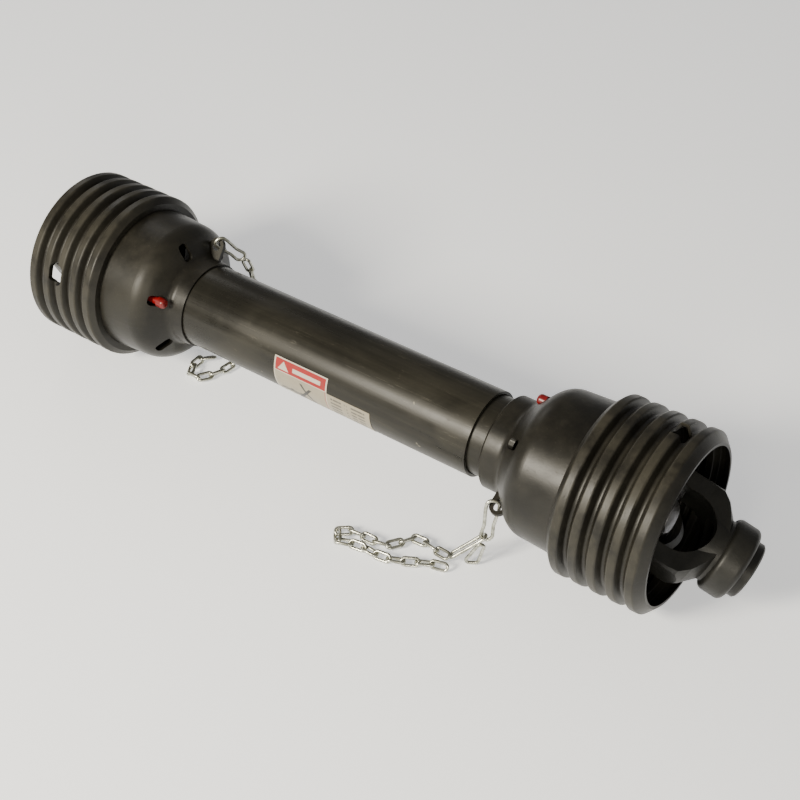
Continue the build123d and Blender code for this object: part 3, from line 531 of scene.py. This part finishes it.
@dataclass(frozen=True)
class PrintedFilm:
    """Sticker: a red band with plain marks over a pale panel, and a pale side strip."""

    name: str
    red: Colour = (0.27, 0.0022, 0.0016)
    pale: Colour = (0.27, 0.24, 0.175)
    white: Colour = (0.45, 0.41, 0.34)
    ink: Colour = (0.022, 0.019, 0.015)
    bar_ink: Colour = (0.055, 0.049, 0.038)
    dirt_colour: Colour = (0.12, 0.10, 0.07)
    split: float = -0.0012
    edge: float = 0.0002

    def build(self) -> bpy.types.Material:
        """Builds the material."""
        g = Graph(self.name)
        x, _, turn = g.polar()
        soft = 0.15
        fade = g.noise(70, 5, rough=0.65)
        main = x.step(self.split + self.edge, self.split - self.edge)
        band = turn.within(4.6, 22.2, soft) * x.within(-0.0594, -0.0028, self.edge)
        colour = g.mix(band * main, self.white, self.red)
        panel = turn.within(-41.5, 3.4, soft) * x.within(-0.0600, -0.0020, self.edge)
        colour = g.mix(panel * main, colour, self.pale)
        bar = turn.within(9.6, 15.6, 0.3) * x.within(-0.0400, -0.0085, 0.0004)
        mark = self.triangle(x, turn) + bar
        colour = g.mix((mark * band * main).clamp(), colour, self.white)
        colour = g.mix(self.figures(g, x, turn) * panel * main, colour, self.ink)
        line = x.within(-0.0030, -0.0022, 0.00015) * turn.within(-41.0, 4.0, soft)
        colour = g.mix(line * main * 0.8, colour, self.red)
        strip = g.mix(self.bars(g, x, turn) * 0.85, self.pale, self.bar_ink)
        colour = g.mix(1.0 - main, colour, strip)
        dirt = g.noise(160, 6, rough=0.7).step(0.55, 0.74)
        worn = dirt * 0.28 + fade.step(0.45, 0.8) * 0.16
        colour = g.mix(worn, colour, self.dirt_colour)
        rough = 0.30 + fade * 0.18 + dirt * 0.2
        relief = g.bump(g.noise(240, 4), 0.00012, 0.35)
        return g.surface(Base_Color=colour, Roughness=rough, Normal=relief)

    @staticmethod
    def triangle(x: Wire, turn: Wire) -> Wire:
        """A plain triangle near the start of the band.

        Args:
            x: Distance along the shaft.
            turn: Degrees above the front.

        Returns:
            Its mask.
        """
        height = (turn - 7.0) / 12.5
        across = abs(x + 0.0505) / 0.0062
        return (1.0 - height - across).step(-0.03, 0.03) * height.step(-0.02, 0.02)

    @staticmethod
    def figures(g: Graph, x: Wire, turn: Wire) -> Wire:
        """Slanted dark shapes on the pale panel.

        Args:
            g: The graph.
            x: Distance along the shaft.
            turn: Degrees above the front.

        Returns:
            Their mask.
        """
        slant = x + turn * 0.00042
        first = slant.within(-0.0330, -0.0302, 0.0003) * turn.within(-34, -2, 0.8)
        lean = x - turn * 0.00055
        second = lean.within(-0.0185, -0.0150, 0.0003) * turn.within(-36, -6, 0.8)
        third = x.within(-0.0560, -0.0300, 0.001) * turn.within(-30, -24, 1.2)
        blot = g.noise(170, 3).step(0.52, 0.60) * x.within(-0.0540, -0.0100, 0.002)
        fourth = blot * turn.within(-38, -20, 2.0)
        return (first + second + third * 0.8 + fourth * 0.7).clamp()

    @staticmethod
    def bars(g: Graph, x: Wire, turn: Wire) -> Wire:
        """Rows of plain grey bars on the side strip.

        Args:
            g: The graph.
            x: Distance along the shaft.
            turn: Degrees above the front.

        Returns:
            Their mask.
        """
        rows = (turn / 6.5).maths("FRACT").within(0.26, 0.72, 0.06)
        breaks = g.noise(230, 1, g.stretched((1, 0.05, 0.05))).step(0.40, 0.46)
        return rows * breaks * x.within(0.003, 0.042, 0.0004) * turn.within(-40, 1, 0.4)


@dataclass(frozen=True)
class FloorPaper:
    """Plain pale backdrop paper."""

    name: str = "backdrop_paper"
    colour: Colour = (0.88, 0.90, 0.93)
    fibre_colour: Colour = (0.88, 0.88, 0.87)
    glow: float = 0.55

    def build(self) -> bpy.types.Material:
        """Builds the material."""
        g = Graph(self.name)
        fibre = g.noise(300, 3)
        base = g.mix(fibre * 0.02, self.colour, self.fibre_colour)
        return g.surface(
            Base_Color=base, Roughness=0.9,
            Emission_Color=(1.0, 1.0, 1.0), Emission_Strength=self.glow,
        )


# ---- mesh tools -------------------------------------------------------------------------------
def new_object(name: str, mesh: bmesh.types.BMesh) -> bpy.types.Object:
    """Turns a bmesh into a linked object with smooth shading.

    Args:
        name: The object's name.
        mesh: The geometry, which is freed.

    Returns:
        The object.
    """
    bmesh.ops.recalc_face_normals(mesh, faces=mesh.faces[:])
    data = bpy.data.meshes.new(name)
    mesh.to_mesh(data)
    mesh.free()
    data.polygons.foreach_set("use_smooth", [True] * len(data.polygons))
    obj = bpy.data.objects.new(name, data)
    bpy.context.scene.collection.objects.link(obj)
    return obj


def dress(obj: bpy.types.Object, material: bpy.types.Material) -> None:
    """Gives an object one material on all its faces.

    Args:
        obj: A piece or a CAD node.
        material: The material.
    """
    obj.data.materials.clear()
    obj.data.materials.append(material)


def ring_tube(mesh: bmesh.types.BMesh, line: list[Vector], radius: float, sides: int) -> None:
    """Adds a round closed tube along a closed line.

    Args:
        mesh: The bmesh to add to.
        line: Centre points, in order, without the first repeated.
        radius: The tube's radius.
        sides: Corners round its section.
    """
    count = len(line)
    rings = []
    normal = (line[1] - line[-1]).normalized().orthogonal().normalized()
    for i, point in enumerate(line):
        along = (line[(i + 1) % count] - line[i - 1]).normalized()
        normal = (normal - along * normal.dot(along)).normalized()
        side = along.cross(normal)
        ring = []
        for k in range(sides):
            angle = 2 * math.pi * k / sides
            out = normal * math.cos(angle) + side * math.sin(angle)
            ring.append(mesh.verts.new(point + out * radius))
        rings.append(ring)
    first, last = rings[0], rings[-1]
    shift = min(range(sides), key=lambda s: (first[s].co - last[0].co).length)
    for i, ring in enumerate(rings):
        ahead = rings[(i + 1) % count]
        turn = shift if i == count - 1 else 0
        for k in range(sides):
            low = (k + 1) % sides
            corners = ring[k], ring[low], ahead[(low + turn) % sides], ahead[(k + turn) % sides]
            mesh.faces.new(corners)


# ---- sub-assemblies ---------------------------------------------------------------------------
@dataclass
class Chain:
    """Welded chain laid along a route, one oval link after another."""

    name: str
    node: str
    body: Body
    route: list[Point]
    length: float
    pitch: float = 0.0128
    wire: float = 0.00150
    link_length: float = 0.0185
    link_width: float = 0.0096
    tilt: float = 52.0
    twist: float = 74.0
    roll_play: float = 8.0
    steepest: float = 0.35
    floor_gap: float = 0.0002
    wire_sides: int = 10
    bend_steps: int = 9
    line_steps: int = 24
    seed: int = 3

    def centre_line(self) -> list[Vector]:
        """Reads the smooth line of the route.

        Returns:
            Points along the route's spline, in order.
        """
        curve = bpy.data.curves.new(self.name + "_line", "CURVE")
        curve.dimensions = "3D"
        curve.resolution_u = self.line_steps
        spline = curve.splines.new("NURBS")
        spline.points.add(len(self.route) - 1)
        for point, place in zip(spline.points, self.route):
            point.co = (*place, 1.0)
        spline.order_u = 3
        spline.use_endpoint_u = True
        holder = bpy.data.objects.new(self.name + "_line", curve)
        bpy.context.scene.collection.objects.link(holder)
        bpy.context.view_layer.update()
        mesh = bpy.data.meshes.new_from_object(holder)
        points = [v.co.copy() for v in mesh.vertices]
        bpy.data.meshes.remove(mesh)
        bpy.data.objects.remove(holder)
        bpy.data.curves.remove(curve)
        return points

    def oval(self) -> list[Vector]:
        """Centre line of one link, lying in its own XY plane.

        Returns:
            The points.
        """
        half = self.link_width / 2 - self.wire
        straight = self.link_length / 2 - self.link_width / 2
        points = []
        for end in (1, -1):
            for k in range(self.bend_steps + 1):
                angle = -math.pi / 2 + math.pi * k / self.bend_steps
                x = math.cos(angle) * half + straight
                y = math.sin(angle) * half
                points.append(Vector((x * end, y * end, 0.0)))
        return points

    def link(self, shape: list[Vector], start: Vector, end: Vector, roll: float) -> list[Vector]:
        """Places one link between two points of the route, clear of the floor.

        Args:
            shape: The link's own centre line.
            start: Point of the route half a pitch before its middle.
            end: Point of the route half a pitch after its middle.
            roll: Turn about the route, in radians.

        Returns:
            The placed centre line.
        """
        along = (end - start).normalized()
        flat = along.cross(Vector((0, 0, 1)))
        if flat.length < self.steepest:
            flat = along.cross(Vector((0, 1, 0)))
        side = Matrix.Rotation(roll, 3, along) @ flat.normalized()
        turn = Matrix((along, side, along.cross(side))).transposed()
        points = [turn @ p + (start + end) / 2 for p in shape]
        lowest = min(p.z for p in points) - self.wire
        if lowest < self.floor_gap:
            points = [p + Vector((0, 0, self.floor_gap - lowest)) for p in points]
        return points

    def build(self) -> bpy.types.Object:
        """Returns:
            The chain.
        """
        rng = random.Random(self.seed)
        line = self.centre_line()
        lengths = [0.0]
        for a, b in zip(line, line[1:]):
            lengths.append(lengths[-1] + (b - a).length)
        total = lengths[-1]
        count = max(2, round((total - self.link_length) / self.pitch) + 1)
        step = (total - self.link_length) / (count - 1)
        mesh = bmesh.new()
        shape = self.oval()
        for i in range(count):
            middle = self.link_length / 2 + step * i
            start = self.at(line, lengths, middle - step / 2)
            end = self.at(line, lengths, middle + step / 2)
            roll = math.radians(self.tilt if i % 2 else self.tilt - self.twist)
            roll += math.radians(rng.uniform(-self.roll_play, self.roll_play))
            points = self.link(shape, start, end, roll)
            ring_tube(mesh, points, self.wire, self.wire_sides)
        chain = new_object(self.name, mesh)
        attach(chain, self.body.value)
        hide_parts(self.node)
        LOG.info("%s: %d links along %.3f m", self.name, count, total)
        return chain

    @staticmethod
    def at(line: list[Vector], lengths: list[float], where: float) -> Vector:
        """The point at a distance along a line.

        Args:
            line: The line's points.
            lengths: Distance along it of each point.
            where: The distance wanted.

        Returns:
            The point.
        """
        for k in range(1, len(line)):
            if lengths[k] >= where or k == len(line) - 1:
                part = (where - lengths[k - 1]) / max(1e-9, lengths[k] - lengths[k - 1])
                return line[k - 1].lerp(line[k], part)
        return line[-1]


@dataclass
class Finishes:
    """Every finish of the shaft, and which pieces wear it."""

    made: dict[str, bpy.types.Material] = field(default_factory=dict)

    def table(self) -> dict[str, object]:
        """Node names, or the ends of node names, and their finishes.

        Returns:
            The finishes in the order in which they are tried.
        """
        return {
            "safety_label": PrintedFilm("label_film"),
            "outer_guard_tube": ExtrudedTube("outer_tube_plastic", seed=0.37),
            "inner_guard_tube": ExtrudedTube("inner_tube_plastic", seed=1.9, roughness=0.40),
            "far_guard_cone": MouldedPlastic("far_cone_plastic", Grain.LOOSE, seed=0.8),
            "near_guard_cone": MouldedPlastic("near_cone_plastic", Grain.LOOSE, seed=2.3),
            "far_ribbed_collar": MouldedPlastic(
                "far_collar_plastic", Grain.ROUND, crest=CREST_RADIUS, seed=4.1),
            "near_ribbed_collar": MouldedPlastic(
                "near_collar_plastic", Grain.ROUND, crest=CREST_RADIUS, seed=5.7),
            "lock_plugs": GlossPlastic("plug_red", (0.21, 0.004, 0.005), (0.12, 0.003, 0.003)),
            "guard_bearing": GlossPlastic(
                "bearing_nylon", (0.62, 0.60, 0.53), (0.50, 0.47, 0.40), roughness=0.45),
            "cross_seals": GlossPlastic(
                "seal_rubber", (0.018, 0.018, 0.018), (0.030, 0.029, 0.027), roughness=0.6),
            "chain_link": ZincWire("link_zinc", roughness=0.26),
            "chain_snap": ZincWire("snap_zinc"),
            "grease_nipple": BareSteel(
                "nipple_plating", (0.62, 0.50, 0.26), (0.30, 0.22, 0.11), 0.26),
            "profile_tube": BareSteel(
                "drawn_steel", (0.27, 0.26, 0.25), lines=(3.0, 90.0, 90.0)),
            "outer_yoke": PaintedForging("yoke_paint"),
            "inner_yoke": PaintedForging("inner_yoke_paint", roughness=0.48),
            "push_pin_spring": BareSteel("spring_steel", (0.10, 0.10, 0.105)),
            "circlips": BareSteel("clip_steel", (0.09, 0.09, 0.095)),
            "roll_pin": BareSteel("roll_pin_steel", (0.16, 0.155, 0.15)),
            "": BareSteel("ground_steel", (0.42, 0.42, 0.43)),
        }

    def wear(self) -> None:
        """Dresses every CAD node with the first finish whose key ends its name."""
        table = self.table()
        for name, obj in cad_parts.items():
            finish = next(f for key, f in table.items() if name.endswith(key))
            dress(obj, self.get(finish))
            LOG.info("%s: %s", name, finish.name)

    def get(self, finish: object) -> bpy.types.Material:
        """A finish's material, made once.

        Args:
            finish: One of the finish dataclasses.

        Returns:
            The material.
        """
        if finish.name not in self.made:
            self.made[finish.name] = finish.build()
        return self.made[finish.name]


@dataclass
class Studio:
    """Camera, pale floor and soft light."""

    camera_place: Point = (0.641, -0.828, 0.944)
    camera_turn: Point = (49.435, 0.0, 35.5)
    lens: float = 67.5
    sensor: float = 36.0
    farthest: float = 80.0
    floor_size: float = 30.0
    room_colour: Colour = (1.0, 0.985, 0.955)
    room_light: float = 0.26
    warm: Colour = (1.0, 0.93, 0.78)
    mild: Colour = (1.0, 0.97, 0.92)

    def camera(self) -> None:
        """Puts the camera where the shaft is seen from its front right and above."""
        data = bpy.data.cameras.new("camera")
        data.lens = self.lens
        data.sensor_width = self.sensor
        data.clip_end = self.farthest
        camera = bpy.data.objects.new("camera", data)
        camera.location = self.camera_place
        camera.rotation_euler = tuple(math.radians(a) for a in self.camera_turn)
        bpy.context.scene.collection.objects.link(camera)
        bpy.context.scene.camera = camera

    def floor(self) -> None:
        """A wide sheet of paper under the shaft."""
        mesh = bmesh.new()
        bmesh.ops.create_grid(mesh, x_segments=8, y_segments=8, size=self.floor_size)
        paper = new_object("floor_paper", mesh)
        dress(paper, FloorPaper().build())

    def area(self, name: str, place: Point, aim: Point, size: float, power: float,
             tint: Colour) -> None:
        """One soft area light.

        Args:
            name: The light's name.
            place: Where it is.
            aim: Where it points.
            size: Its side.
            power: Its power in watts.
            tint: Its colour.
        """
        data = bpy.data.lights.new(name, "AREA")
        data.energy = power
        data.size = size
        data.color = tint
        light = bpy.data.objects.new(name, data)
        light.location = place
        toward = Vector(aim) - Vector(place)
        light.rotation_euler = toward.to_track_quat("-Z", "Y").to_euler()
        bpy.context.scene.collection.objects.link(light)

    def lights(self) -> None:
        """A dim even room, a large key from the front left, and two fills."""
        world = bpy.data.worlds.new("room")
        world.use_nodes = True
        back = world.node_tree.nodes["Background"]
        back.inputs["Color"].default_value = (*self.room_colour, 1.0)
        back.inputs["Strength"].default_value = self.room_light
        bpy.context.scene.world = world
        self.area("key", (-0.55, -1.75, 1.15), (0.0, 0.0, 0.08), 0.62, 84.0, self.warm)
        self.area("side", (0.9, -1.3, 0.75), (0.2, 0.0, 0.08), 0.35, 9.0, self.warm)
        self.area("rim", (-1.6, 0.9, 1.2), (-0.1, 0.0, 0.08), 0.6, 4.0, self.mild)


def scaled(points: list[Point]) -> list[Point]:
    """Route points from millimetres to metres, with those on the floor at a link's height.

    Args:
        points: Points in millimetres.

    Returns:
        Points in metres.
    """
    heights = [CHAIN_LIFT if z <= FLOOR_POINT else z for _, _, z in points]
    return [(x * MM, y * MM, z * MM) for (x, y, _), z in zip(points, heights)]


NEAR_ROUTE: list[Point] = [
    (160.5, -80.5, 6.6), (153, -80, 5.6), (144, -78.5, 5.0), (133, -76.5, 5.0), (122, -76, 5.0),
    (115, -82, 5.0), (115, -92, 5.0), (107, -99, 5.0), (95, -101, 5.0), (83, -101, 5.0),
    (71, -102, 5.0), (62, -106, 5.0), (61, -115, 5.0), (70, -120, 5.0), (80, -114, 5.0),
    (91, -112, 5.0), (103, -113, 5.0), (114, -112, 5.0), (125, -108, 5.0),
    (136, -102, 5.0), (146, -96, 5.0), (156, -92, 5.0), (166, -90, 5.0),
]
FAR_ROUTE: list[Point] = [
    (-173, 54, 104.5), (-172, 57, 97), (-168, 59, 84), (-167, 59, 66), (-167, 58, 48),
    (-167, 56, 30), (-165, 49, 13), (-164, 36, 5.5), (-165, 23, 5.0), (-162, 12, 5.0),
    (-164, 0, 5.0), (-169, -11, 5.0), (-175, -23, 5.0), (-187, -25, 5.0), (-190, -14, 5.0),
    (-197, -6, 5.0), (-193, 5, 5.0), (-183, 13, 5.0),
]


def main() -> None:
    """Builds the studio, the chains and the finishes, in that order."""
    logging.basicConfig(level=logging.INFO, format="%(message)s")
    studio = Studio()
    studio.camera()
    finishes = Finishes()
    zinc = finishes.get(ZincWire("chain_zinc"))
    chains = (
        Chain("near_chain_links", "near_chain", Body.NEAR_GUARD, scaled(NEAR_ROUTE), 0.231),
        Chain("far_chain_links", "far_chain", Body.FAR_GUARD, scaled(FAR_ROUTE), 0.223, seed=8),
    )
    for chain in chains:
        dress(chain.build(), zinc)
    finishes.wear()
    studio.floor()
    studio.lights()
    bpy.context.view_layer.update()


if __name__ == "__main__":
    main()
